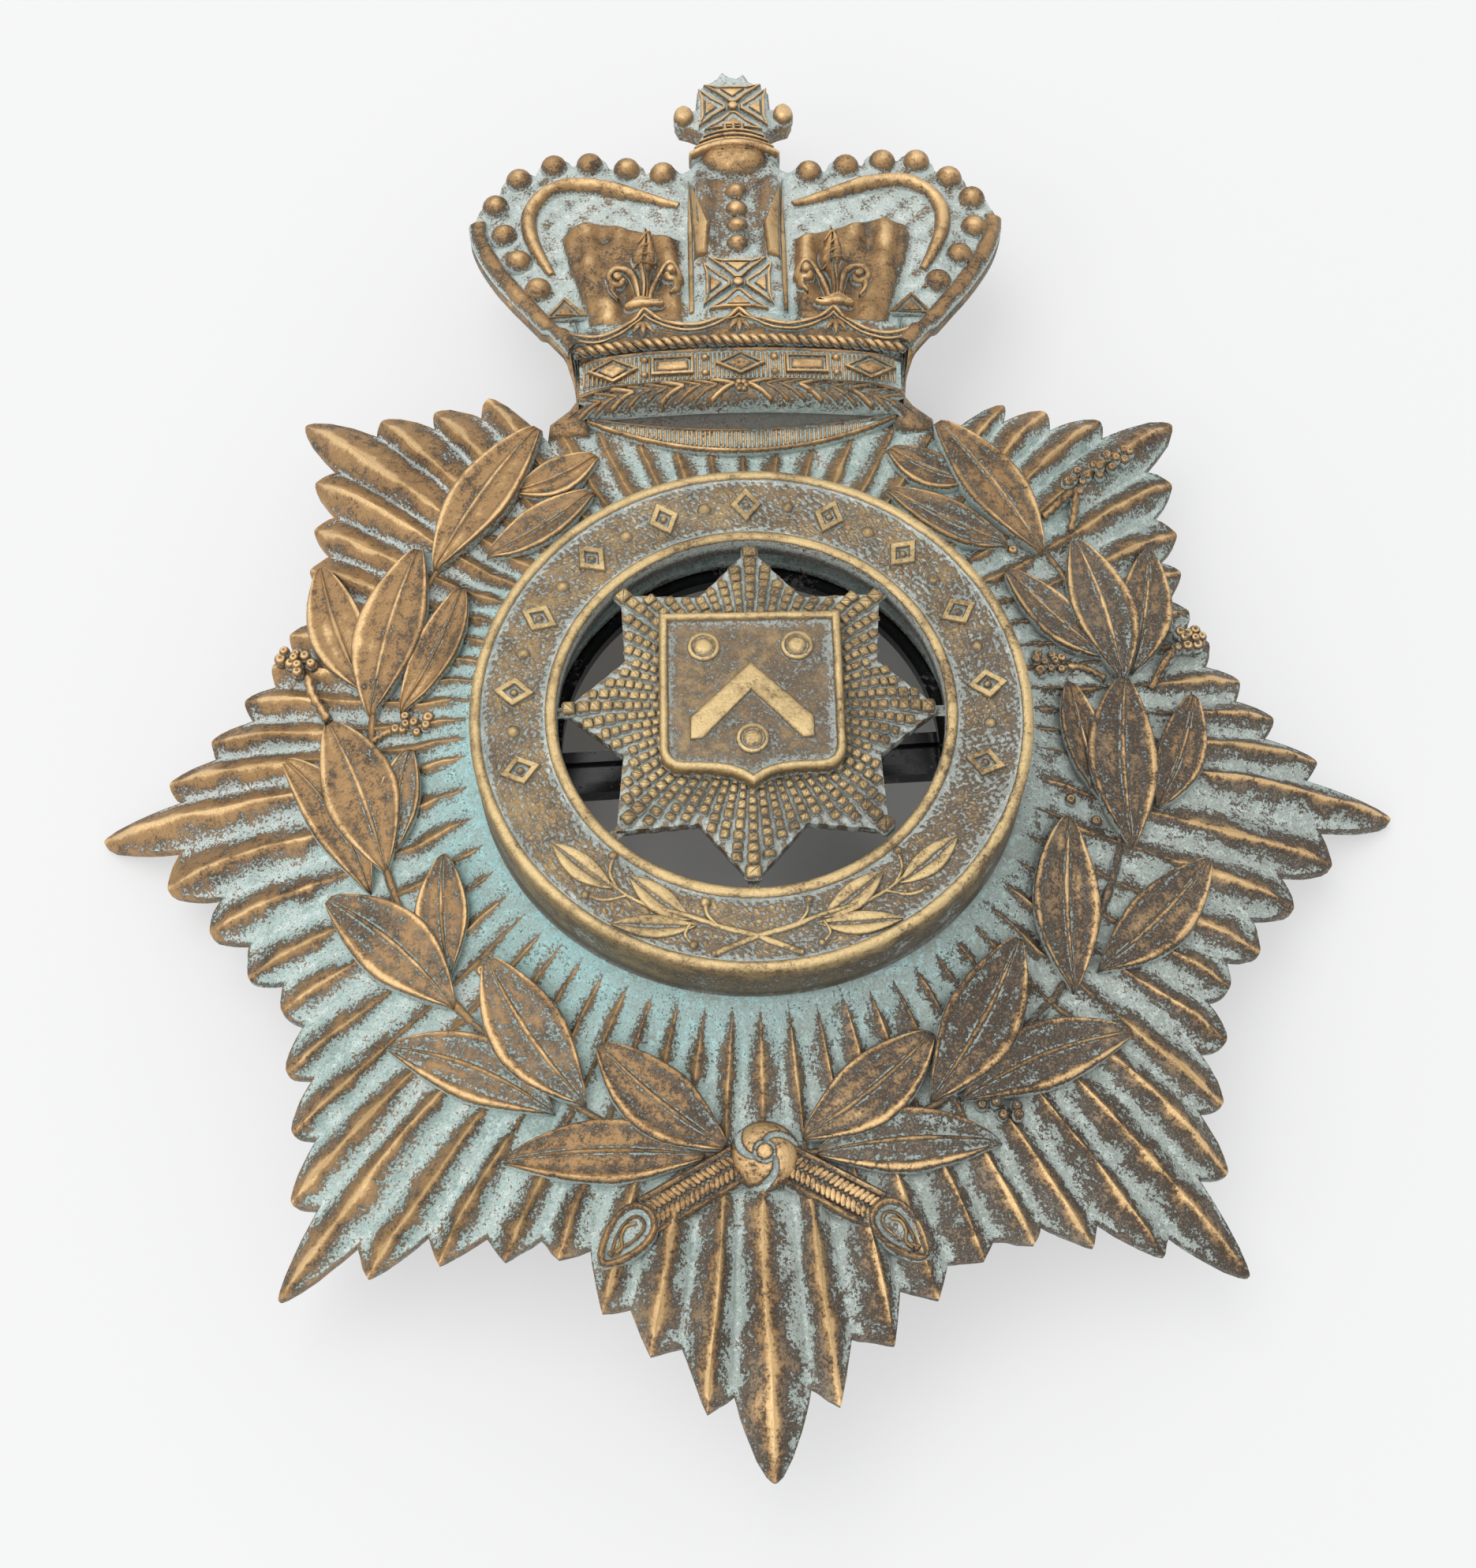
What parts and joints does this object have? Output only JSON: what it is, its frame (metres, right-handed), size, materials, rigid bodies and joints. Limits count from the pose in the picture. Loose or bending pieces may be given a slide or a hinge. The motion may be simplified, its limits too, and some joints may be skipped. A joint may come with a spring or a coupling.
{
  "type": "cap badge",
  "caption": "Star-pattern helmet and cap plate with crown and wreath, a pinned-on raised centre circlet, and three fastening loops behind.",
  "frame": {"origin": "middle of the badge's outline, on the surface that it rests on face up", "axes": "+X to the viewer's right, +Y from the lowest point to the crown, +Z out of the front face"},
  "size_m": [0.1046, 0.1248, 0.0236],
  "materials": {
    "star_brass": "aged, brown-gold with pale verdigris in the hollows",
    "centre_brass": "aged, worn bright on the rims",
    "black_japan": "black japan, semi-gloss",
    "loop_copper": "dull copper wire",
    "pin_brass": "drawn wire, dull"
  },
  "bodies": {
    "badge": {"star_plate": "star_brass", "circlet": "centre_brass", "centre_star": "centre_brass", "centre_shield": "centre_brass", "backing_ring": "black_japan", "cross_bar": "black_japan", "centre_loop_left": "loop_copper", "centre_loop_right": "loop_copper", "centre_loop_bottom": "loop_copper", "plate_loop_top": "loop_copper", "plate_loop_left": "loop_copper", "plate_loop_right": "loop_copper"},
    "pin_left": {"split_pin_left": "pin_brass"},
    "pin_right": {"split_pin_right": "pin_brass"},
    "pin_bottom": {"split_pin_bottom": "pin_brass"}
  },
  "joints": [
    {"name": "pin_left_slide", "type": "slide", "parent": "badge", "child": "pin_left", "axis": [0, 1, 0], "range_m": [0, 0.008]},
    {"name": "pin_right_slide", "type": "slide", "parent": "badge", "child": "pin_right", "axis": [0, 1, 0], "range_m": [0, 0.008]},
    {"name": "pin_bottom_slide", "type": "slide", "parent": "badge", "child": "pin_bottom", "axis": [1, 0, 0], "range_m": [0, 0.008]}
  ]
}
